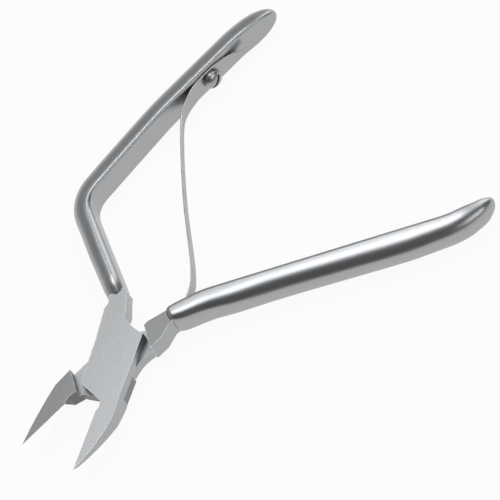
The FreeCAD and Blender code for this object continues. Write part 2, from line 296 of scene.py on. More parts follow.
def finish_mesh(obj: Object, crease: float = 32.0) -> None:
    """Cleans a piece, keeps its flats flat and its rounds round, and scales it to metres.

    Args:
        obj: The piece, in millimetres.
        crease: Edges that turn more than this, in degrees, stay crisp.
    """
    with opened(obj.data) as bm:
        bmesh.ops.remove_doubles(bm, verts=bm.verts, dist=WELD)
        bmesh.ops.dissolve_degenerate(bm, dist=WELD, edges=bm.edges)
        open_edges = sum(1 for e in bm.edges if not e.is_manifold)
        bmesh.ops.recalc_face_normals(bm, faces=bm.faces)
    # Pieces without painted shade or light get a neutral factor of 1, and no extra roughness.
    if PAINTED_LIGHT not in obj.data.attributes:
        tone = obj.data.attributes.new(PAINTED_LIGHT, "FLOAT", "FACE")
        tone.data.foreach_set("value", [1.0] * len(obj.data.polygons))
        obj.data.attributes.new(ROUGH, "FLOAT", "FACE")
    obj.data.transform(Matrix.Scale(MM, 4))
    obj.data.shade_smooth()
    obj.data.set_sharp_from_angle(angle=math.radians(crease))
    modify(obj, "WEIGHTED_NORMAL", keep_sharp=True, weight=80)
    LOG.info("%s: %d faces, %d open edges", obj.name, len(obj.data.polygons), open_edges)


# ---------------------------------------------------------------- shared surface effects
def feed(tree: Tree, node: Node, inputs: dict[str | int, object]) -> None:
    """Links or sets a node's inputs.

    Args:
        tree: The tree the node is in.
        node: The node.
        inputs: By name or number, a socket to link or a plain value to set.
    """
    for key, given in inputs.items():
        if isinstance(given, Socket):
            tree.links.new(given, node.inputs[key])
        else:
            node.inputs[key].default_value = given


def add_node(tree: Tree, kind: str, inputs: dict[str | int, object] | None = None,
             **settings: object) -> Node:
    """Adds a node.

    Args:
        tree: The tree it goes in.
        kind: The node's type.
        inputs: What its inputs are linked or set to.
        settings: The node's own properties, set before its inputs.

    Returns:
        The node.
    """
    node = tree.nodes.new(kind)
    for name, value in settings.items():
        setattr(node, name, value)
    feed(tree, node, inputs or {})
    return node


def new_group(name: str, kind: str, inputs: dict[str, tuple[str, object]],
              outputs: dict[str, str]) -> tuple[Tree, Node, Node]:
    """Starts a node group.

    Args:
        name: The group's name.
        kind: The type of its tree.
        inputs: By name, each input's kind, and its default or None.
        outputs: By name, each output's kind.

    Returns:
        The group, its input node and its output node.
    """
    tree = bpy.data.node_groups.new(name, kind)
    for label, (sort, value) in inputs.items():
        socket = tree.interface.new_socket(name=label, in_out="INPUT", socket_type="NodeSocket" + sort)
        if value is not None:
            socket.default_value = value
    for label, sort in outputs.items():
        tree.interface.new_socket(name=label, in_out="OUTPUT", socket_type="NodeSocket" + sort)
    return tree, tree.nodes.new("NodeGroupInput"), tree.nodes.new("NodeGroupOutput")


def math_node(tree: Tree, operation: str, *inputs: object) -> Socket:
    """Adds a math node, its inputs given as sockets or plain numbers."""
    return add_node(tree, "ShaderNodeMath", dict(enumerate(inputs)), operation=operation).outputs[0]


def spread(tree: Tree, source: Socket, given: Point, wanted: Point = (0.0, 1.0)) -> Socket:
    """Maps one range of a value to another, clamped."""
    ends = {"From Min": given[0], "From Max": given[1], "To Min": wanted[0], "To Max": wanted[1]}
    return add_node(tree, "ShaderNodeMapRange", {"Value": source} | ends).outputs["Result"]


def mix_colours(tree: Tree, share: object, first: object, second: object, blend: str = "MIX") -> Socket:
    """Mixes two colours, each given as a socket or a value."""
    node = add_node(tree, "ShaderNodeMix", {"Factor": share, "A": first, "B": second},
                    data_type="RGBA", blend_type=blend)
    return node.outputs["Result"]


class BrushedGrain:
    """The fine lines that a belt leaves along a piece, as a node group."""

    NAME = "brushed_grain"
    LAYERS = ((1.0, 2.0, 0.55), (0.3, 3.0, 0.45))  # share of the lines in a millimetre, detail, strength
    LINE_ROUGHNESS = 0.6
    CLOUD_SCALE = 130.0
    CLOUD_DETAIL = 3.0
    RELIEF = 0.00003  # depth of the lines, in metres

    @classmethod
    def group(cls) -> Tree:
        """Builds the group once.

        Returns:
            The group, with outputs Streaks, Cloud and Normal.
        """
        if cls.NAME in bpy.data.node_groups:
            return bpy.data.node_groups[cls.NAME]
        tree, inner, outer = new_group(
            cls.NAME, "ShaderNodeTree",
            {"Along": ("Vector", None), "Lines per mm": ("Float", 9.0), "Line length": ("Float", 6.0),
             "Depth": ("Float", 0.1)},
            {"Streaks": "Float", "Cloud": "Float", "Normal": "Vector"})
        parts = add_node(tree, "ShaderNodeSeparateXYZ", {0: inner.outputs["Along"]})
        streaks = []
        for share, detail, strength in cls.LAYERS:
            lines = math_node(tree, "MULTIPLY", inner.outputs["Lines per mm"], share)
            slow = math_node(tree, "DIVIDE", lines, inner.outputs["Line length"])
            joined = add_node(tree, "ShaderNodeCombineXYZ", {
                0: math_node(tree, "MULTIPLY", parts.outputs[0], slow),
                1: math_node(tree, "MULTIPLY", parts.outputs[1], lines)})
            noise = add_node(tree, "ShaderNodeTexNoise", {
                "Vector": joined.outputs[0], "Scale": 1.0, "Detail": detail, "Roughness": cls.LINE_ROUGHNESS})
            streaks.append(math_node(tree, "MULTIPLY", noise.outputs["Fac"], strength))
        total = math_node(tree, "ADD", *streaks)
        cloud = add_node(tree, "ShaderNodeTexNoise", {
            "Vector": add_node(tree, "ShaderNodeTexCoord").outputs["Object"], "Scale": cls.CLOUD_SCALE,
            "Detail": cls.CLOUD_DETAIL})
        bump = add_node(tree, "ShaderNodeBump", {
            "Distance": cls.RELIEF, "Strength": inner.outputs["Depth"], "Height": total})
        feed(tree, outer, {"Streaks": total, "Cloud": cloud.outputs["Fac"], "Normal": bump.outputs["Normal"]})
        return tree


class EdgeWearAndHighlight:
    """Where edges are rubbed bright and carry a painted edge highlight, as a node group."""

    NAME = "edge_wear"
    SAMPLES = 6
    TURNED = (0.995, 0.9)  # cosines between the true and the rounded normal: barely rubbed, fully rubbed

    @classmethod
    def group(cls) -> Tree:
        """Builds the group once.

        Returns:
            The group, with the output Mask.
        """
        if cls.NAME in bpy.data.node_groups:
            return bpy.data.node_groups[cls.NAME]
        tree, inner, outer = new_group(cls.NAME, "ShaderNodeTree",
                                       {"Width": ("Float", 0.00013), "Amount": ("Float", 0.5)},
                                       {"Mask": "Float"})
        rounded = add_node(tree, "ShaderNodeBevel", {"Radius": inner.outputs["Width"]}, samples=cls.SAMPLES)
        plain = add_node(tree, "ShaderNodeNewGeometry")
        normals = {0: rounded.outputs["Normal"], 1: plain.outputs["Normal"]}
        cosine = add_node(tree, "ShaderNodeVectorMath", normals, operation="DOT_PRODUCT").outputs["Value"]
        near = spread(tree, cosine, cls.TURNED)
        feed(tree, outer, {"Mask": math_node(tree, "MULTIPLY", near, inner.outputs["Amount"])})
        return tree


@dataclass(frozen=True)
class SteelFinish:
    """A brushed or polished steel surface.

    Attributes:
        name: The material's name.
        tint: The metal's colour, linear.
        roughness: Its roughness on average.
        lines: Grain lines in a millimetre.
        length: How long a line is, in line widths.
        depth: How strongly the grain breaks the reflections.
        worn_edge_highlight: How bright rubbed edges and their painted edge highlight are, from 0 to 1.
    """

    STREAK_TONES = (0.93, 1.06)    # the tint in a dark and in a light streak
    NOISE_RANGE = (0.3, 0.7)       # where most of a noise's values lie
    CLOUD_SHARE = 0.4              # how much the clouds count in the roughness
    # Base colour of rubbed edges, which also serves as a painted edge highlight.
    WORN_EDGE_HIGHLIGHT = (0.93, 0.93, 0.93, 1.0)
    UNEVEN = 0.025                 # how far the roughness strays either way

    name: str
    tint: Place
    roughness: float
    lines: float
    length: float
    depth: float
    worn_edge_highlight: float

    def material(self) -> bpy.types.Material:
        """Builds the finish.

        Returns:
            The material.
        """
        made = bpy.data.materials.new(self.name)
        made.use_nodes = True
        tree = made.node_tree
        along = add_node(tree, "ShaderNodeUVMap", uv_map=GRAIN_MAP)
        grain = add_node(tree, "ShaderNodeGroup", {
            "Along": along.outputs["UV"], "Lines per mm": self.lines, "Line length": self.length,
            "Depth": self.depth}, node_tree=BrushedGrain.group())
        worn_edge_highlight = add_node(tree, "ShaderNodeGroup", {"Amount": self.worn_edge_highlight}, node_tree=EdgeWearAndHighlight.group())
        shade, coarse = (add_node(tree, "ShaderNodeAttribute", attribute_name=name) for name in (PAINTED_LIGHT, ROUGH))
        dark, light = (tuple(c * f for c in self.tint) + (1.0,) for f in self.STREAK_TONES)
        tones = mix_colours(tree, spread(tree, grain.outputs["Streaks"], self.NOISE_RANGE), dark, light)
        # The painted shade and painted light on the faces multiply into the colour here.
        toned = mix_colours(tree, 1.0, tones, shade.outputs["Color"], "MULTIPLY")
        mixed = math_node(tree, "ADD",
                          math_node(tree, "MULTIPLY", grain.outputs["Streaks"], 1 - self.CLOUD_SHARE),
                          math_node(tree, "MULTIPLY", grain.outputs["Cloud"], self.CLOUD_SHARE))
        rough = spread(tree, mixed, self.NOISE_RANGE,
                       (self.roughness - self.UNEVEN, self.roughness + self.UNEVEN))
        # Edges take a much brighter base colour: rubbed wear plus a painted edge highlight.
        feed(tree, tree.nodes["Principled BSDF"], {
            "Metallic": 1.0,
            "Base Color": mix_colours(tree, worn_edge_highlight.outputs["Mask"], toned, self.WORN_EDGE_HIGHLIGHT),
            "Roughness": math_node(tree, "ADD", rough, coarse.outputs["Fac"]),
            "Normal": grain.outputs["Normal"]})
        return made


# The last number of each finish sets how bright its rubbed edges and painted edge highlight are.
SATIN_FORGING = SteelFinish("satin_forging", (0.388, 0.398, 0.408), 0.33, 7.0, 20.0, 0.012, 0.9)
GROUND_RIVET = SteelFinish("ground_rivet", (0.384, 0.394, 0.404), 0.33, 7.0, 20.0, 0.04, 0.1)
SPRING_STRIP = SteelFinish("spring_strip", (0.40, 0.405, 0.41), 0.36, 10.0, 20.0, 0.03, 0.3)
TURNED_SCREW = SteelFinish("turned_screw", (0.37, 0.375, 0.38), 0.30, 8.0, 24.0, 0.04, 0.4)


def dress(obj: Object, finish: SteelFinish, body: str, node: str) -> Object:
    """Gives a finished piece its material, and ties it to the model.

    Args:
        obj: The piece, in metres.
        finish: Its surface.
        body: The body it moves with, or nothing if it bends between two.
        node: The model's node it stands for.

    Returns:
        The piece.
    """
    obj.data.materials.clear()
    obj.data.materials.append(finish.material())
    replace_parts(obj, node)
    if body:
        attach(obj, body)
    return obj


# ---------------------------------------------------------------- the two forged halves
@dataclass
class Handle:
    """A handle swept along its flat inner face, from inside the joint to its rounded end.

    Attributes:
        corners: Plan corners of the flat inner face, closed.
        bends: Bend radius at each inner corner.
        nose: Length over which the section swells out of the joint.
        thickness: Depth of the section along the length.
        edges: Radius of the two inner edges along the length.
        width: Height of the section, from its underside to its top.
        end_length: Length of the rounded end.
        end_power: Roundness of that end, where 2 is an ellipse.
        end_inset: How far the end's centre lies off the flat, as a share of the thickness.
        section_power: Squareness of the section, where 2 is an ellipse.
        root_power: How much squarer than that it is at the root.
        nose_round: Length over which the section thickens at its nose, or nothing.
        nose_start: Height of the nose's first section, as a share of the joint's.
        nose_power: How quickly its height swells.
        skin: How far the sweep keeps inside the model's.
        step: Distance between sections.
        line: Points, directions and distances along the flat.
    """

    FACE_STEPS = 8
    CROWN_STEPS = 36
    NOSE_STEPS = 14
    END_ANGLES = (0, 8, 16, 24, 31, 38, 44, 50, 55, 60, 65, 70, 74, 78, 81, 83.5)
    POLE_BACK = 0.045            # the end's last point, back from the full length
    POLE_SHIFT = 0.05            # and off its centre, as a share of the thickness
    NOSE_DEPTH = 0.4             # the nose's first thickness, as a share of the full one
    NOSE_INSET = 0.25            # and how far it stands off the flat
    EDGE_LIMITS = (0.72, 0.45)   # most that an inner edge takes of the half height and the thickness
    ROOT_FADE = 24               # length over which the root's squareness fades

    corners: list[Point]
    bends: list[float]
    nose: float
    thickness: Table
    edges: Table
    width: float = 7.6
    end_length: float = 9.0
    end_power: float = 2.15
    end_inset: float = 0.25
    section_power: float = 2.6
    root_power: float = 1.2
    nose_round: float = 3.0
    nose_start: float = 0.1
    nose_power: float = 0.5
    skin: float = 0.07
    step: float = 0.8
    line: list[tuple[Point, float, float]] = field(init=False)

    def __post_init__(self) -> None:
        """Works out the line the section follows, once."""
        self.line = self.stations()

    def stations(self) -> list[tuple[Point, float, float]]:
        """Straight runs joined by tangent arcs.

        Returns:
            Points, their directions in radians, and their distance from the start.
        """
        found: list[tuple[Point, float]] = []
        start = self.corners[0]
        for i, radius in enumerate(self.bends, 1):
            before, here, after = self.corners[i - 1:i + 2]
            a0 = math.atan2(here[1] - before[1], here[0] - before[0])
            a1 = math.atan2(after[1] - here[1], after[0] - here[0])
            turn = a1 - a0
            back = radius * math.tan(abs(turn) / 2)
            enter = (here[0] - back * math.cos(a0), here[1] - back * math.sin(a0))
            found += self.run(start, enter, a0)
            side = math.copysign(1, turn)
            centre = (enter[0] - side * radius * math.sin(a0), enter[1] + side * radius * math.cos(a0))
            parts = max(3, math.ceil(radius * abs(turn) / self.step))
            for k in range(parts + 1):
                a = a0 + turn * k / parts
                spot = (centre[0] + side * radius * math.sin(a), centre[1] - side * radius * math.cos(a))
                found.append((spot, a))
            start = found.pop()[0]
        last = self.corners[-1]
        angle = math.atan2(last[1] - start[1], last[0] - start[0])
        found += self.run(start, last, angle) + [(last, angle)]
        placed = [(found[0][0], found[0][1], 0.0)]
        for point, angle in found[1:]:
            placed.append((point, angle, placed[-1][2] + math.dist(placed[-1][0], point)))
        return placed

    def run(self, start: Point, end: Point, angle: float) -> list[tuple[Point, float]]:
        """Points along a straight run, without its end.

        Args:
            start: Where the run begins.
            end: Where it ends.
            angle: Its direction, in radians.

        Returns:
            The points, each with the run's direction.
        """
        parts = max(1, round(math.dist(start, end) / self.step))
        across, up = end[0] - start[0], end[1] - start[1]
        return [((start[0] + across * k / parts, start[1] + up * k / parts), angle) for k in range(parts)]

    def at(self, s: float) -> tuple[Point, float]:
        """The place at a distance along the line.

        Args:
            s: The distance.

        Returns:
            The point there and the line's direction.
        """
        for (p, a, s0), (q, b, s1) in zip(self.line, self.line[1:]):
            if s <= s1 or s1 == self.line[-1][2]:
                t = (s - s0) / (s1 - s0)
                return (p[0] + (q[0] - p[0]) * t, p[1] + (q[1] - p[1]) * t), a + (b - a) * t
        return self.line[-1][0], self.line[-1][1]

    def section(self, s: float) -> list[Vector]:
        """One D-shaped ring across the handle.

        Args:
            s: Distance along the line.

        Returns:
            The ring, beginning on the lower side of the flat face.
        """
        total = self.line[-1][2] - self.skin
        point, angle = self.at(s)
        full = between(self.thickness, s) - self.skin
        half, thick, inset = self.width / 2, full, 0.0
        if s < self.nose:
            low = self.nose_start * MIDDLE
            half = low + (half - low) * (1 - (1 - s / self.nose) ** 2) ** self.nose_power
        if s < self.nose_round:
            swell = math.sqrt(1 - (1 - s / self.nose_round) ** 2)
            thick = full * (self.NOSE_DEPTH + (1 - self.NOSE_DEPTH) * swell)
            inset = full * self.NOSE_INSET * (1 - swell)
        if s > total - self.end_length:
            part = min(1.0, (s - total + self.end_length) / self.end_length)
            fall = (1 - part ** self.end_power) ** (1 / self.end_power)
            half, thick, inset = half * fall, full * fall, self.end_inset * full * (1 - fall)
        edge = min(between(self.edges, s), self.EDGE_LIMITS[0] * half, self.EDGE_LIMITS[1] * thick)
        corner = [(edge * (1 - math.cos(a)), half - edge * (1 - math.sin(a)))
                  for a in (math.pi / 2 * k / self.FACE_STEPS for k in range(1, self.FACE_STEPS + 1))]
        profile = [(0.0, -(half - edge) + 2 * (half - edge) * k / self.FACE_STEPS)
                   for k in range(self.FACE_STEPS + 1)] + corner
        power = 2 / (self.section_power + self.root_power * max(0.0, 1 - s / self.ROOT_FADE))
        for k in range(1, self.CROWN_STEPS):
            t = math.pi / 2 - math.pi * k / self.CROWN_STEPS
            profile.append((edge + (thick - edge) * abs(math.cos(t)) ** power,
                            half * math.copysign(abs(math.sin(t)) ** power, math.sin(t))))
        profile += [(depth, -height) for depth, height in reversed(corner)]
        out = Vector((-math.sin(angle), math.cos(angle), 0))
        base = Vector((point[0], point[1], MIDDLE)) + out * inset
        return [base + out * depth + Vector((0, 0, height)) for depth, height in profile]

    def solid(self, name: str) -> Object:
        """Sweeps the handle.

        Args:
            name: The object's name.

        Returns:
            The closed solid, in millimetres.
        """
        total = self.line[-1][2] - self.skin
        apart = self.step / 2
        nose = [self.nose * (1 - math.cos(math.pi / 2 * k / self.NOSE_STEPS))
                for k in range(self.NOSE_STEPS + 1)]
        body = [s for _, _, s in self.line if self.nose + apart < s < total - self.end_length - apart]
        end = [total - self.end_length * (1 - math.sin(math.radians(a))) for a in self.END_ANGLES]
        last, angle = self.at(total)
        full = between(self.thickness, total)
        out = Vector((-math.sin(angle), math.cos(angle), 0))
        along = Vector((math.cos(angle), math.sin(angle), 0))
        pole = Vector((last[0], last[1], MIDDLE)) + out * self.end_inset * full - along * self.POLE_BACK
        pole += out * self.POLE_SHIFT * full
        return loft(name, [self.section(s) for s in nose + body + end], pole)

    def measure(self, x: float, y: float) -> Point:
        """Where a plan point lies about the handle's line.

        Args:
            x: The point's x.
            y: The point's y.

        Returns:
            How far along the line it is, and how far off.
        """
        near = min(self.line, key=lambda st: (st[0][0] - x) ** 2 + (st[0][1] - y) ** 2)
        (px, py), angle, s = near
        dx, dy = x - px, y - py
        return s + dx * math.cos(angle) + dy * math.sin(angle), dy * math.cos(angle) - dx * math.sin(angle)


def shoulder_at_jaw(y: float) -> float:
    """x of the step between jaw and lap."""
    return -11.72 - 0.478 * y


def shoulder_at_root(y: float) -> float:
    """x of the step between lap and root."""
    return 9.28 - 0.475 * y


@dataclass
class ForgedHalf:
    """One half of the nipper: jaw, lap plate, root and handle in one forging.

    Attributes:
        name: The piece's name.
        layer: The layer its lap plate takes.
        bite: y of its cutting edge, closed.
        edge_start: x where the cutting edge ends and the notch begins.
        outline: Plan outline from the notch round the joint to the jaw's outer side.
        belly: A point the jaw's outer arc passes.
        pocket: Plan outline of what is milled away opposite the lap plate.
        handle: Its handle.
        jaw_length: Rivet axis to jaw tip.
        tip_thickness: Depth of the jaw at its tip.
        back_start: Rivet axis to where the jaw's back begins to slope.
        hollow_slope: How far the inner side falls back for each millimetre of depth.
        lap_clearance: Gap between the two lap plates.
        rim: Width of the broken rims.
        painted_top_shade: Painted shade on the head's top faces, as a factor on the colour.
        painted_notch_shade: Painted shade on the notch's walls, as a factor on the colour.
        painted_skirt_shade: Painted shade on the skirt's outer wall, as a factor on the colour.
        skirt: Plan outline of the thin wall beside the lap recess, if there is one.
    """

    JAW_STEPS = 28
    TIP_REACH = 1.2              # length of jaw tip whose rims stay crisp
    WEDGE_OVER = 2.0             # how far the wedges stand past the jaw
    WEDGE_HALF_SPAN = 12.0
    HOLLOW_SPAN = 3.0            # how far the hollow's tool stands past the bite
    HOLLOW_LEAN = 0.4            # how its near end leans, for each millimetre of depth
    HOLLOW_LIFT = 1e-4           # keeps its top off the jaw's top
    BORE_CLEARANCE = 0.04
    BORE_OVER = 0.5
    SKIRT_FOOT = 0.05            # height of the skirt's lower edge
    SKIRT_ROOT = 0.5             # how deep it is rooted in the lap plate
    NOTCH_X = (-17.0, -7.0)      # where the notch's walls are
    NOTCH_REACH = 1.2            # how far below the bite they start
    SKIRT_X = (-9.7, -3.3)       # where the skirt's outer wall is
    # Painted light on the recessed lap faces, and their extra roughness.
    PAINTED_RECESS_LIGHT = 1.45
    RECESS_ROUGH = 0.25

    name: str
    layer: Layer
    bite: float
    edge_start: float
    outline: list[Point]
    belly: Point
    pocket: list[Point]
    handle: Handle
    jaw_length: float = 29.0
    tip_thickness: float = 0.45
    back_start: float = 10.6
    hollow_slope: float = 0.72
    lap_clearance: float = 0.05
    rim: float = 0.14
    painted_top_shade: float = 1.0
    painted_notch_shade: float = 0.38
    painted_skirt_shade: float = 0.55
    skirt: list[Point] = field(default_factory=list)

    def blank(self) -> Object:
        """The head's full-thickness blank, its rims broken except along the bite and the tip.

        Returns:
            The blank, in millimetres.
        """
        tip = (-self.jaw_length, self.bite)
        ring = [tip, (self.edge_start, self.bite)] + self.outline
        ring += arc_points(self.outline[-1], self.belly, tip, self.JAW_STEPS)[:-1]
        obj = prism(self.name, ring, 0.0, THICKNESS)
        with opened(obj.data) as bm:
            rims = []
            for edge in bm.edges:
                a, b = (v.co for v in edge.verts)
                level = abs(a.z - b.z) < TOUCH
                on_bite = abs(a.y - self.bite) < TOUCH and abs(b.y - self.bite) < TOUCH
                near_tip = min(a.x, b.x) < self.TIP_REACH - self.jaw_length
                if level and not on_bite and not near_tip:
                    rims.append(edge)
            bmesh.ops.bevel(bm, geom=rims, offset=self.rim, offset_type="OFFSET", segments=2, profile=0.6,
                            affect="EDGES", clamp_overlap=True)
        return obj

    def back_wedge(self) -> Object:
        """What thins the jaw from the back towards the tip.

        Returns:
            The tool, in millimetres.
        """
        rise = (THICKNESS - self.tip_thickness) / (self.jaw_length - self.back_start)
        near, far = -self.back_start, -self.jaw_length - 2 * self.WEDGE_OVER
        ring = [(near, 0.0), (far, rise * (near - far)), (far, -1.0), (near, -1.0)]
        return loft("back", [[Vector((x, y, z)) for x, z in ring]
                             for y in (-self.WEDGE_HALF_SPAN, self.WEDGE_HALF_SPAN)])

    def hollow_wedge(self) -> Object:
        """What hollows the jaw's inner side so that it ends in a cutting edge.

        Returns:
            The tool, in millimetres.
        """
        deep = THICKNESS + self.WEDGE_OVER
        low, inner = THICKNESS - deep, self.bite + self.HOLLOW_SPAN
        foot = self.bite - self.hollow_slope * deep
        near, far = self.edge_start, -self.jaw_length - self.WEDGE_OVER
        rings = [[Vector((top, self.bite, THICKNESS)), Vector((base, foot, low)),
                  Vector((base, inner, low)), Vector((top, inner, THICKNESS))]
                 for top, base in ((near, near + self.HOLLOW_LEAN * deep), (far, far))]
        wedge = loft("hollow", rings)
        wedge.data.transform(Matrix.Translation((0, 0, self.HOLLOW_LIFT)))
        return wedge

    def paint_light_and_shade(self, obj: Object) -> None:
        """Paints light and shade into the head's faces: painted shade on the top faces, the notch walls and
        the skirt's outer wall, and painted light on the recessed lap faces, which are also made rougher.

        Args:
            obj: The half in millimetres, closed.
        """
        tone = obj.data.attributes.new(PAINTED_LIGHT, "FLOAT", "FACE")
        rough = obj.data.attributes.new(ROUGH, "FLOAT", "FACE")
        for face in obj.data.polygons:
            (x, y, z), normal = face.center, face.normal
            in_notch = self.NOTCH_X[0] < x < self.NOTCH_X[1]
            on_skirt = self.skirt and z < MIDDLE and self.SKIRT_X[0] < x < self.SKIRT_X[1]
            faces_up, is_wall = normal.z > 0.95, abs(normal.z) < 0.9
            value = 1.0
            # The top faces take painted shade, as set for each half.
            if faces_up and abs(z - THICKNESS) < 0.01:
                value = self.painted_top_shade
            # The notch walls take painted shade.
            elif in_notch and is_wall and (y > self.bite - self.NOTCH_REACH or normal.x > 0.5):
                value = self.painted_notch_shade
            # The recessed lap faces take painted light, and are made rougher.
            elif faces_up and abs(z - MIDDLE) < self.lap_clearance:
                value = self.PAINTED_RECESS_LIGHT
                rough.data[face.index].value = self.RECESS_ROUGH
            # The skirt's outer wall takes painted shade.
            elif on_skirt and normal.y < -0.9:
                value = self.painted_skirt_shade
            tone.data[face.index].value = value

    def build(self) -> Object:
        """Makes the whole half.

        Returns:
            The piece in metres, in the open position.
        """
        obj = self.blank()
        upper = self.layer is Layer.UPPER
        split = MIDDLE + self.layer.value * self.lap_clearance / 2
        low, high = (-1.0, split) if upper else (split, THICKNESS + 1)
        carve(obj, prism("pocket", self.pocket, low, high), Cut.REMOVE)
        carve(obj, self.back_wedge(), Cut.REMOVE)
        carve(obj, self.hollow_wedge(), Cut.REMOVE)
        if self.skirt:
            carve(obj, prism("skirt", self.skirt, self.SKIRT_FOOT, split + self.SKIRT_ROOT), Cut.JOIN)
        carve(obj, self.handle.solid("handle"), Cut.JOIN)
        bore = Rivet(extra=0.0 if upper else self.BORE_CLEARANCE, over=self.BORE_OVER)
        carve(obj, bore.turned("bore"), Cut.REMOVE)
        if upper:
            hole = SpringScrew.shank_hole()
            turn(hole, -OPEN_HALF_ANGLE)
            carve(obj, hole, Cut.REMOVE)
        lay_grain(obj, self.handle)
        self.paint_light_and_shade(obj)
        if not upper:
            obj.data.transform(Matrix.Scale(-1, 4, Vector((0, 1, 0))))
            obj.data.flip_normals()
        turn(obj, self.layer.value * OPEN_HALF_ANGLE)
        finish_mesh(obj)
        return obj


def lay_grain(obj: Object, handle: Handle) -> None:
    """Maps a piece so that its grain runs from the jaws along the handle.

    Args:
        obj: The piece in millimetres, closed.
        handle: The handle whose line the grain follows.
    """
    start = handle.line[0][0]
    lean = 0.8

    def spot(at: Vector) -> Point:
        """Along the jaw before the handle begins, and along its line after."""
        if at.x < start[0]:
            return at.x - start[0], at.y + lean * at.z
        s, off = handle.measure(at.x, at.y)
        return s, off + lean * at.z + start[1]

    map_grain(obj, spot)


# ---------------------------------------------------------------- rivet, screw and spring
def coat(tree: Tree, shape: Socket, inner: Node, outer: Node) -> None:
    """Ends a geometry tree by making its shape real and giving it the material.

    Args:
        tree: The geometry node tree.
        shape: What it has made.
        inner: Its input node, with an input Finish.
        outer: Its output node.
    """
    plain = add_node(tree, "GeometryNodeRealizeInstances", {"Geometry": shape})
    coated = add_node(tree, "GeometryNodeSetMaterial", {
        "Geometry": plain.outputs["Geometry"], "Material": inner.outputs["Finish"]})
    feed(tree, outer, {0: coated.outputs["Geometry"]})


class TurnedParts:
    """Geometry nodes that turn a drawn profile about the Z axis."""

    NAME = "turned_part"
    SEGMENTS = 64
    RING = 1.0       # radius of the circle that a profile is swept round

    @classmethod
    def tree(cls) -> Tree:
        """Builds the tree once.

        Returns:
            The tree, with inputs Profile, Segments and Finish.
        """
        if cls.NAME in bpy.data.node_groups:
            return bpy.data.node_groups[cls.NAME]
        tree, inner, outer = new_group(
            cls.NAME, "GeometryNodeTree",
            {"Profile": ("Geometry", None), "Segments": ("Int", cls.SEGMENTS), "Finish": ("Material", None)},
            {"Part": "Geometry"})
        outline = add_node(tree, "GeometryNodeMeshToCurve", {"Mesh": inner.outputs["Profile"]})
        circle = add_node(tree, "GeometryNodeCurvePrimitiveCircle", {
            "Radius": cls.RING, "Resolution": inner.outputs["Segments"]})
        swept = add_node(tree, "GeometryNodeCurveToMesh", {
            "Curve": circle.outputs["Curve"], "Profile Curve": outline.outputs["Curve"]})
        merged = add_node(tree, "GeometryNodeMergeByDistance", {
            "Geometry": swept.outputs["Mesh"], "Distance": 1e-4})
        coat(tree, merged.outputs["Geometry"], inner, outer)
        return tree

    @classmethod
    def turn(cls, name: str, profile: list[Point], segments: int) -> Object:
        """Turns a profile of radius and height into a closed solid.

        Args:
            name: The object's name.
            profile: Radius and height, from one pole to the other, in millimetres.
            segments: How many faces go round.

        Returns:
            The solid, as a plain mesh with faces outwards.
        """
        obj = wire(name, [(radius - cls.RING, -height, 0.0) for radius, height in profile])
        apply_tree(obj, cls.tree(), {"Segments": segments})
        with opened(obj.data) as bm:
            bmesh.ops.recalc_face_normals(bm, faces=bm.faces)
        return obj


def apply_tree(obj: Object, tree: Tree, values: dict[str, object]) -> None:
    """Runs a geometry tree on an object and keeps the result as its plain mesh.

    Args:
        obj: The object that carries the tree's input.
        tree: The geometry node tree.
        values: Its inputs by name.
    """
    step = obj.modifiers.new(tree.name, "NODES")
    step.node_group = tree
    keys = {s.name: s.identifier for s in tree.interface.items_tree if s.in_out == "INPUT"}
    for name, value in values.items():
        step[keys[name]] = value
    swap_mesh(obj)


@dataclass
class Rivet:
    """The pivot rivet, countersunk and ground flush with both faces.

    Attributes:
        radius: Its shank.
        head_radius: Its flared ends.
        flare: Depth of each flared end.
        rim: Width of the broken edge round each end.
        extra: What a bore is larger by.
        over: How far a bore's tool stands past each face.
    """

    SEGMENTS = 96
    LIP = 0.01       # how far each end's broken edge falls in

    radius: float = 1.9
    head_radius: float = 2.6
    flare: float = 0.9
    rim: float = 0.05
    extra: float = 0.0
    over: float = 0.0

    def turned(self, name: str) -> Object:
        """Turns the rivet, or the tool for its bore.

        Args:
            name: The object's name.

        Returns:
            The solid, in millimetres.
        """
        r, head, top = self.radius + self.extra, self.head_radius + self.extra, THICKNESS
        if self.over:
            profile = [(0, -self.over), (head, -self.over), (head, 0), (r, self.flare), (r, top - self.flare),
                       (head, top), (head, top + self.over), (0, top + self.over)]
        else:
            rim, lip = self.rim, self.LIP
            profile = [(0, 0), (head - rim, 0.0), (head - lip, rim), (r, self.flare),
                       (r, top - self.flare), (head - lip, top - rim), (head - rim, top), (0, top)]
        return TurnedParts.turn(name, profile, self.SEGMENTS)

    def build(self, grain: Handle) -> Object:
        """Makes the rivet, its ends ground together with the kneed half.

        Args:
            grain: The handle whose line the grain follows.

        Returns:
            The piece in metres.
        """
        obj = self.turned("pivot_rivet_ground")
        turn(obj, -OPEN_HALF_ANGLE)
        lay_grain(obj, grain)
        turn(obj, OPEN_HALF_ANGLE)
        finish_mesh(obj)
        return obj


def screw_seat() -> tuple[Vector, Vector]:
    """Where the screw stands on the kneed handle's flat, opened.

    Returns:
        The point, and the flat's direction there.
    """
    opening = Matrix.Rotation(OPEN_HALF_ANGLE, 3, "Z")
    a, b = (opening @ Vector((*p, 0.0)) for p in KNEED_HANDLE.corners[3:5])
    along = (b - a).normalized()
    reach = along.dot(a)
    t = -reach + math.sqrt(SCREW_REACH ** 2 - a.length_squared + reach ** 2)
    point = a + along * t
    return Vector((point.x, point.y, MIDDLE)), along


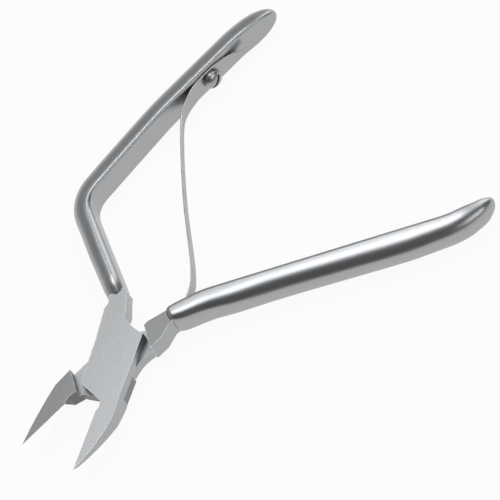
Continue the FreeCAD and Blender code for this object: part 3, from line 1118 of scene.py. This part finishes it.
@dataclass
class SpringScrew:
    """The domed, slotted screw that clamps the spring.

    Attributes:
        shank: Radius of its shank.
        head: Radius of its head.
        head_height: Height of its head.
        rim_height: Height of the head's straight side, below the dome.
        slot_width: Width of its slot.
        slot_depth: Depth of its slot.
        slot_turn: The slot's direction about the screw.
        depth: Length of shank inside the handle.
        washer: Thickness it clamps, which is the spring's.
    """

    SEGMENTS = 96
    HOLE_SEGMENTS = 48
    HOLE_CLEARANCE = 0.02        # in the handle, radial and below the shank's end
    HOLE_TOP = 1.0               # how far the hole's tool stands above the seat
    UNDER_EDGE = 0.12            # broken edge under the head
    DOME_DROP = 0.06             # where the dome begins, below its straight side's end
    DOME_STEPS = 18
    DOME_SHARE = 0.985           # how much of the dome's angle its first ring takes
    SLOT_REACH = 6
    BROKEN_EDGE = 0.05
    GRAIN_STRETCH = 1.5

    shank: float = 1.15
    head: float = 2.4
    head_height: float = 2.2
    rim_height: float = 0.9
    slot_width: float = 0.7
    slot_depth: float = 0.8
    slot_turn: float = math.radians(25)
    depth: float = 3.0
    washer: float = 0.45

    @staticmethod
    def stand() -> Matrix:
        """Where the screw stands.

        Returns:
            What moves a part drawn on +Z onto the seat.
        """
        point, along = screw_seat()
        out = Vector((along.y, -along.x, 0))
        lean = Vector((0, 0, 1)).rotation_difference(out).to_matrix().to_4x4()
        return Matrix.Translation(point) @ lean

    @classmethod
    def shank_hole(cls, extra: float = HOLE_CLEARANCE) -> Object:
        """The tool for the screw's hole in the handle or the spring.

        Args:
            extra: What the hole's radius is larger by.

        Returns:
            The tool, in place in the open position.
        """
        radius, low = cls.shank + extra, -cls.depth - cls.HOLE_CLEARANCE
        profile = [(0, low), (radius, low), (radius, cls.HOLE_TOP), (0, cls.HOLE_TOP)]
        hole = TurnedParts.turn("screw_hole", profile, cls.HOLE_SEGMENTS)
        hole.data.transform(cls.stand())
        return hole

    def build(self) -> Object:
        """Makes the screw.

        Returns:
            The piece in metres.
        """
        dome = self.head_height - self.rim_height
        ball = (self.head ** 2 + dome ** 2) / (2 * dome)
        top = self.washer + self.head_height
        side = math.asin(self.head / ball)
        profile = [(0, -self.depth), (self.shank, -self.depth), (self.shank, self.washer),
                   (self.head - self.UNDER_EDGE, self.washer), (self.head, self.washer + self.UNDER_EDGE),
                   (self.head, self.washer + self.rim_height - self.DOME_DROP)]
        angles = [side * (1 - k / self.DOME_STEPS) * self.DOME_SHARE for k in range(self.DOME_STEPS)]
        profile += [(ball * math.sin(a), top - ball + ball * math.cos(a)) for a in angles] + [(0, top)]
        obj = TurnedParts.turn("spring_screw_head", profile, self.SEGMENTS)
        across, reach = self.slot_width / 2, self.SLOT_REACH
        slot = prism("slot", [(-reach, -across), (reach, -across), (reach, across), (-reach, across)],
                     top - self.slot_depth, top + 2)
        turn(slot, self.slot_turn)
        carve(obj, slot, Cut.REMOVE)
        modify(obj, "BEVEL", width=self.BROKEN_EDGE, segments=2, limit_method="ANGLE",
               angle_limit=math.radians(35))
        map_grain(obj, lambda p: (abs(math.atan2(p.y, p.x)) * self.GRAIN_STRETCH, math.hypot(p.x, p.y) + p.z))
        obj.data.transform(self.stand())
        finish_mesh(obj)
        return obj


@dataclass
class LeafSpring:
    """The leaf spring: a strip with a pointed free end, a seat under the screw and a long blade.

    Attributes:
        thickness: Thickness of the strip.
        seat_before: Seated length from the screw towards the joint.
        seat_beyond: Seated length towards the handle's end.
        tip: Plan point of the free end beyond the screw.
        blade: Plan points of the blade from the seat to the foot.
        widths: Strip width by x.
    """

    NAME = "spring_strip"
    SQUARENESS = 7.0             # of the strip's section, where 2 is an ellipse
    FACES_ROUND = 48
    DRAWN_RADIUS = 0.2           # of the ring that the section replaces
    HOLE_CLEARANCE = 0.1
    TIP_STEPS = 14
    TIP_BOW = 0.25               # how far the free end leans off the seat's line
    SEAT_STEPS = 12
    BLADE_STEP = 0.7
    GRAIN_STRETCH = 1.3
    CREASE = 50.0

    thickness: float = 0.45
    seat_before: float = 3.6
    seat_beyond: float = 5.0
    tip: Point = (79.3, 17.6)
    blade: list[Point] = field(default_factory=lambda: [
        (62.7, 22.6), (60.5, 22.4), (58.5, 21.95), (56.6, 21.15), (54.9, 20.1), (52.3, 18.25), (48.1, 15.15),
        (44.0, 11.95), (38.0, 7.05), (33.1, 2.7), (29.2, -0.8), (26.2, -3.35), (24.0, -4.95), (22.3, -5.95),
        (20.5, -6.55), (18.6, -6.95)])
    widths: Table = field(default_factory=lambda: [
        (18.0, 2.7), (18.9, 3.2), (21.0, 3.2), (26.0, 2.9), (36.0, 2.4), (46.0, 1.9), (53.0, 1.8),
        (56.5, 2.3), (60.0, 3.7), (63.5, 5.0), (67.0, 5.5), (71.5, 5.5), (74.5, 4.0), (78.6, 1.1),
        (79.9, 0.6)])
    @classmethod
    def tree(cls) -> Tree:
        """Builds the strip's geometry tree.

        Returns:
            The tree, with inputs Line, Thickness, Corners, Faces round and Finish.
        """
        tree, inner, outer = new_group(
            cls.NAME, "GeometryNodeTree",
            {"Line": ("Geometry", None), "Thickness": ("Float", cls.thickness),
             "Corners": ("Float", cls.SQUARENESS), "Faces round": ("Int", cls.FACES_ROUND),
             "Finish": ("Material", None)},
            {"Strip": "Geometry"})

        def keep(source: Socket, name: str, kind: str, value: Socket) -> Socket:
            """Stores a named value on every point."""
            return add_node(tree, "GeometryNodeStoreNamedAttribute", {
                "Name": name, "Geometry": source, "Value": value}, data_type=kind).outputs["Geometry"]

        def read(name: str, kind: str) -> Socket:
            """Reads a named value back."""
            return add_node(tree, "GeometryNodeInputNamedAttribute", {"Name": name},
                            data_type=kind).outputs["Attribute"]

        def vector(operation: str, *inputs: object) -> Socket:
            """Adds a vector math node."""
            return add_node(tree, "ShaderNodeVectorMath", dict(enumerate(inputs)),
                            operation=operation).outputs["Vector"]

        line = add_node(tree, "GeometryNodeMeshToCurve", {"Mesh": inner.outputs["Line"]})
        position, heading = (add_node(tree, kind).outputs[0]
                             for kind in ("GeometryNodeInputPosition", "GeometryNodeInputTangent"))
        rail = keep(line.outputs["Curve"], "spine", "FLOAT_VECTOR", position)
        rail = keep(rail, "along", "FLOAT_VECTOR", heading)
        circle = add_node(tree, "GeometryNodeCurvePrimitiveCircle", {
            "Radius": cls.DRAWN_RADIUS, "Resolution": inner.outputs["Faces round"]})
        factor = add_node(tree, "GeometryNodeSplineParameter").outputs["Factor"]
        ring = keep(circle.outputs["Curve"], "swing", "FLOAT", math_node(tree, "MULTIPLY", factor, math.tau))
        swept = add_node(tree, "GeometryNodeCurveToMesh", {
            "Curve": rail, "Profile Curve": ring, "Fill Caps": True})
        power = math_node(tree, "DIVIDE", 2.0, inner.outputs["Corners"])
        swing = read("swing", "FLOAT")
        spans = []
        for wave, size in (("SINE", read("width", "FLOAT")), ("COSINE", inner.outputs["Thickness"])):
            swung = math_node(tree, wave, swing)
            full = math_node(tree, "POWER", math_node(tree, "ABSOLUTE", swung), power)
            signed = math_node(tree, "MULTIPLY", full, math_node(tree, "SIGN", swung))
            spans.append(math_node(tree, "MULTIPLY", math_node(tree, "MULTIPLY", size, 0.5), signed))
        face = vector("NORMALIZE", vector("CROSS_PRODUCT", read("along", "FLOAT_VECTOR"), (0.0, 0.0, 1.0)))
        tall = add_node(tree, "ShaderNodeCombineXYZ", {"Z": spans[0]}).outputs[0]
        thick = add_node(tree, "ShaderNodeVectorMath", {0: face, "Scale": spans[1]},
                         operation="SCALE").outputs[0]
        spot = vector("ADD", read("spine", "FLOAT_VECTOR"), vector("ADD", tall, thick))
        moved = add_node(tree, "GeometryNodeSetPosition", {
            "Geometry": swept.outputs["Mesh"], "Position": spot})
        coat(tree, moved.outputs["Geometry"], inner, outer)
        return tree

    def line(self) -> list[Vector]:
        """The strip's middle line, from the free end over the seat to the foot.

        Returns:
            Close points, in millimetres.
        """
        seat, along = screw_seat()
        down = Vector((along.y, -along.x, 0))
        centre = Vector((seat.x, seat.y, 0)) + down * self.thickness / 2
        near, far = centre - along * self.seat_before, centre + along * self.seat_beyond
        tip = Vector((*self.tip, 0))
        found = hermite(tip, far, Vector((-along.x, -along.y + self.TIP_BOW, 0)), -along, self.TIP_STEPS)
        found += [far + (near - far) * k / self.SEAT_STEPS for k in range(self.SEAT_STEPS)]
        knots = [near] + [Vector((*p, 0)) for p in self.blade]
        slopes = [-along]
        for before, here, after in zip(knots, knots[1:], knots[2:]):
            d0, d1 = (here - before).length, (after - here).length
            slopes.append(((here - before) * d1 / d0 + (after - here) * d0 / d1) / (d0 + d1))
        slopes.append((knots[-1] - knots[-2]).normalized())
        for p, q, a, b in zip(knots, knots[1:], slopes, slopes[1:]):
            found += hermite(p, q, a, b, max(3, round((q - p).length / self.BLADE_STEP)))
        found.append(knots[-1])
        return [Vector((p.x, p.y, MIDDLE)) for p in found]

    def build(self) -> Object:
        """Makes the spring.

        Returns:
            The piece in metres.
        """
        points = self.line()
        obj = wire("leaf_spring_strip", points)
        width = obj.data.attributes.new("width", "FLOAT", "POINT")
        width.data.foreach_set("value", [between(self.widths, p.x) for p in points])
        apply_tree(obj, self.tree(), {"Thickness": self.thickness, "Corners": self.SQUARENESS,
                                      "Faces round": self.FACES_ROUND})
        carve(obj, SpringScrew.shank_hole(self.HOLE_CLEARANCE), Cut.REMOVE)
        for name in ("spine", "along", "swing", "width"):
            if name in obj.data.attributes:
                obj.data.attributes.remove(obj.data.attributes[name])
        map_grain(obj, lambda p: (p.x * self.GRAIN_STRETCH, p.z))
        finish_mesh(obj, self.CREASE)
        return obj


def hermite(p: Vector, q: Vector, a: Vector, b: Vector, count: int) -> list[Vector]:
    """Points on a smooth span, without its end.

    Args:
        p: Where it starts.
        q: Where it ends.
        a: Its direction at the start.
        b: Its direction at the end.
        count: How many points to give.

    Returns:
        The points.
    """
    size = (q - p).length
    spots = []
    for k in range(count):
        t = k / count
        spots.append(p * (2 * t ** 3 - 3 * t ** 2 + 1) + a * size * (t ** 3 - 2 * t ** 2 + t)
                     + q * (3 * t ** 2 - 2 * t ** 3) + b * size * (t ** 3 - t ** 2))
    return spots


# ---------------------------------------------------------------- sizes of this nipper
KNEED_HANDLE = Handle(
    corners=[(14.6, 2.7), (16.9, 4.4), (35.85, 20.65), (60.02, 10.38), (81.04, -0.68), (90.7, -7.3)],
    bends=[6.0, 6.0, 90.0, 22.0],
    nose=5.6,
    thickness=[(0, 4.5), (4, 4.9), (14, 5.1), (22, 5.0), (29, 5.1), (36, 5.25), (60, 5.2), (90, 5.1)],
    edges=[(0, 1.5), (16, 1.5), (24, 1.1), (30, 0.6), (60, 0.6)],
    section_power=2.15,
    root_power=0.0,
    nose_round=0.0,
    nose_start=0.86,
    nose_power=1.0,
)
STRAIGHT_HANDLE = Handle(
    corners=[(14.61, 0.56), (23.8, 4.05), (73.6, 34.8), (78.8, 36.5), (83.1, 36.9)],
    bends=[25.0, 18.0, 7.0],
    nose=1.7,
    thickness=[(0, 4.2), (4, 4.9), (9, 5.4), (16, 5.8), (30, 5.8), (52, 6.2), (58, 6.2), (66, 5.6),
               (76, 4.6)],
    edges=[(0, 1.0), (20, 0.9)],
)


def kneed_half() -> ForgedHalf:
    """The half with the kneed handle; its lap plate is the upper one.

    Returns:
        The half, ready to build.
    """
    neck = arc_points((9.3, 0.95), (7.35, -1.7), (6.1, -5.05), 12)
    throat = arc_points((16.1, 3.7), (15.45, 2.86), (13.9, 2.18), 6)
    outline = [(-12.9, -1.3), (-11.35, -0.95), (-8.6, 5.1), (2.4, 5.6), (10.2, 6.4), (11.8, 5.95),
               (13.6, 6.4), (16.1, 3.7), *throat, (10.6, 1.1), (9.3, 0.95), *neck, (-9.4, -5.05),
               (-12.9, -5.25), (-15.2, -5.3)]
    pocket = [(shoulder_at_jaw(9), 9), (shoulder_at_jaw(-9), -9), (16.0, -9), (16.3, 3.42), (15.0, 3.1),
              (10.9, 1.6), (shoulder_at_root(1.6), 1.6), (shoulder_at_root(9), 9)]
    outer, inner = -5.03, -4.5
    skirt = [(shoulder_at_jaw(outer) - 1.0, outer), (-3.4, outer), (-3.7, inner),
             (shoulder_at_jaw(inner) - 1.0, inner)]
    return ForgedHalf("bent_half_forging", Layer.UPPER, -0.81, -14.3, outline, (-22.6, -3.45), pocket,
                      KNEED_HANDLE, skirt=skirt)


def straight_half() -> ForgedHalf:
    """The half with the nearly straight handle; its lap plate is the lower one.

    Returns:
        The half, ready to build.
    """
    boss, clear = 5.5, 4.25
    turn = math.pi - math.asin(clear / boss)
    start = (boss * math.cos(turn), clear)
    middle = (boss * math.cos((turn + math.pi / 2) / 2), boss * math.sin((turn + math.pi / 2) / 2))
    root = shoulder_at_root(boss) - 0.1
    round_boss = arc_points(start, middle, (0.0, boss), 10)
    scoop = arc_points((0.0, boss), (3.3, 4.7), (root, 5.0), 10)
    neck = arc_points((9.3, -0.15), (7.35, -1.7), (6.1, -5.05), 12)
    outline = [(-14.2, -0.1), (-11.25, 0.3), (-8.9, clear), start, *round_boss, *scoop, (root, 5.5),
               (10.0, 5.5), (13.3, 4.4), (14.6, 4.5), (17.0, 3.2), (15.1, 1.3), (10.6, 0.0), (9.3, -0.15),
               *neck, (-9.4, -5.0), (-14.2, -4.75)]
    pocket = [(shoulder_at_jaw(9), 9), (shoulder_at_jaw(-9), -9), (12, -9), (12, -0.02),
              (shoulder_at_root(-0.02), -0.02), (shoulder_at_root(9), 9)]
    # Its top faces are painted darker, as painted shade.
    return ForgedHalf("straight_half_forging", Layer.LOWER, 0.75, -15.8, outline, (-22.4, -2.0), pocket,
                      STRAIGHT_HANDLE, painted_top_shade=0.60)


# ---------------------------------------------------------------- studio
@dataclass
class Softbox:
    """A plain rectangular light.

    Attributes:
        name: Its name.
        spot: Where it stands, in metres.
        size: Its two sides, in metres.
        watts: Its power.
        level: Whether two of its sides run along world X.
    """

    name: str
    spot: Place
    size: tuple[float, float]
    watts: float
    level: bool = False

    def hang(self, aim: Vector) -> None:
        """Hangs the light, facing the object.

        Args:
            aim: The point it faces.
        """
        lamp = bpy.data.lights.new(self.name, "AREA")
        lamp.shape = "RECTANGLE"
        lamp.size, lamp.size_y = self.size
        lamp.energy = self.watts
        holder = add_object(self.name, lamp)
        holder.location = self.spot
        back = (Vector(self.spot) - aim).normalized()
        up = back.cross(Vector((1, 0, 0)) if self.level else Vector((0, 0, 1)).cross(back)).normalized()
        holder.rotation_euler = Matrix((up.cross(back), up, back)).transposed().to_euler()


@dataclass
class Studio:
    """A pale floor, plain soft light and the camera.

    Attributes:
        floor_height: Height of the floor, in metres.
        floor_tone: How pale it is.
        floor_glow: How much of it is evenly lit to the eye and in reflections.
        floor_radius: How far it reaches.
        floor_sides: How many sides its round edge has.
        dark_side: Brightness of the room from nadir to zenith, towards -Y.
        pale_side: The same towards +Y.
        turn_over: The stretch of Y in which one passes into the other.
        boxes: The lights.
        aim: The point the lights face.
        lens: The camera's focal length, in millimetres.
        distance: How far the camera stands off, in metres.
        back: Direction from the object to the camera.
        up: Roughly the camera's upward direction.
        centre: The point in the middle of its view.
    """

    floor_height: float = -0.0012
    floor_tone: float = 0.95
    floor_glow: float = 0.93
    floor_radius: float = 3.0
    floor_sides: int = 48
    dark_side: tuple[Point, ...] = ((0.0, 0.8), (0.5, 0.7), (0.53, 0.2), (0.75, 0.12), (1.0, 0.12))
    pale_side: tuple[Point, ...] = ((0.0, 0.8), (0.5, 0.8), (0.54, 0.5), (0.75, 0.45), (1.0, 0.12))
    turn_over: Point = (-0.1, 0.5)
    boxes: tuple[Softbox, ...] = (Softbox("top_box", (0.195, 0.296, 1.12), (0.48, 0.48), 3.6, True),
                                  Softbox("front_box", (0.105, -0.60, 0.45), (0.60, 0.40), 1.2),
                                  Softbox("right_box", (0.62, 0.08, 0.36), (0.35, 0.75), 1.5))
    aim: Place = (0.035, -0.015, 0.0)
    lens: float = 300
    distance: float = 0.93
    back: Place = (-0.236, -0.502, 0.834)
    up: Place = (0.808, 0.375, 0.455)
    centre: Place = (0.0353, -0.0145, 0.0054)

    def floor(self) -> None:
        """Lays the floor."""
        bm = bmesh.new()
        around = [math.tau * k / self.floor_sides for k in range(self.floor_sides)]
        bm.faces.new([bm.verts.new((math.cos(a) * self.floor_radius, math.sin(a) * self.floor_radius,
                                    self.floor_height)) for a in around])
        obj = place(bm, "pale_floor")
        if obj.data.polygons[0].normal.z < 0:
            obj.data.flip_normals()
        made = bpy.data.materials.new("pale_floor")
        made.use_nodes = True
        tree = made.node_tree
        shader = tree.nodes["Principled BSDF"]
        feed(tree, shader, {"Base Color": (self.floor_tone,) * 3 + (1.0,), "Roughness": 0.9,
                            "Specular IOR Level": 0.0})
        glow = add_node(tree, "ShaderNodeEmission", {"Strength": 1.0})
        path = add_node(tree, "ShaderNodeLightPath")
        seen = math_node(tree, "MAXIMUM", path.outputs["Is Camera Ray"], path.outputs["Is Glossy Ray"])
        seen = math_node(tree, "MAXIMUM", seen, path.outputs["Is Transmission Ray"])
        blend = add_node(tree, "ShaderNodeMixShader", {
            0: math_node(tree, "MULTIPLY", seen, self.floor_glow), 1: shader.outputs[0], 2: glow.outputs[0]})
        feed(tree, tree.nodes["Material Output"], {"Surface": blend.outputs[0]})
        obj.data.materials.append(made)

    def room(self) -> None:
        """A plain room: pale at the horizon, darker towards the ceiling, and paler towards +Y."""
        world = bpy.data.worlds.new("room")
        world.use_nodes = True
        bpy.context.scene.world = world
        tree = world.node_tree
        parts = add_node(tree, "ShaderNodeSeparateXYZ", {
            0: add_node(tree, "ShaderNodeTexCoord").outputs["Generated"]})
        height = spread(tree, parts.outputs["Z"], (-1.0, 1.0))
        ramps = []
        for tones in (self.dark_side, self.pale_side):
            ramp = add_node(tree, "ShaderNodeValToRGB", {0: height})
            stops = ramp.color_ramp.elements
            while len(stops) < len(tones):
                stops.new(0.5)
            for stop, (spot, tone) in zip(stops, tones):
                stop.position = spot
                stop.color = (tone, tone, tone, 1.0)
            ramps.append(ramp.outputs[0])
        sides = mix_colours(tree, spread(tree, parts.outputs["Y"], self.turn_over), *ramps)
        feed(tree, tree.nodes["Background"], {"Color": sides})

    def camera(self) -> None:
        """Sets the camera."""
        lens = bpy.data.cameras.new("camera")
        lens.lens = self.lens
        lens.sensor_width = 36
        lens.clip_end = 10
        holder = add_object("camera", lens)
        back = Vector(self.back).normalized()
        right = Vector(self.up).cross(back).normalized()
        stand = Matrix((right, back.cross(right), back)).transposed().to_4x4()
        stand.translation = Vector(self.centre) + back * self.distance
        holder.matrix_world = stand
        bpy.context.scene.camera = holder

    def build(self) -> None:
        """Sets the whole studio."""
        bpy.context.scene.view_settings.view_transform = "Standard"
        self.floor()
        self.room()
        self.camera()
        for box in self.boxes:
            box.hang(Vector(self.aim))


def main() -> None:
    """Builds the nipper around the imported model."""
    logging.basicConfig(level=logging.INFO, format="%(name)s: %(message)s")
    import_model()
    Studio().build()
    kneed = dress(kneed_half().build(), SATIN_FORGING, "kneed_side", "bent_half")
    straight = dress(straight_half().build(), SATIN_FORGING, "straight_side",
                     "straight_half")
    rivet = dress(Rivet().build(KNEED_HANDLE), GROUND_RIVET, "kneed_side", "pivot_rivet")
    screw = dress(SpringScrew().build(), TURNED_SCREW, "kneed_side", "spring_screw")
    spring = dress(LeafSpring().build(), SPRING_STRIP, "", "leaf_spring")
    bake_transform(spring)
    for piece in (kneed, straight, rivet, screw, spring):
        LOG.info("%s stands for %s", piece.name, ", ".join(piece["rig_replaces"]))


if __name__ == "__main__":
    main()
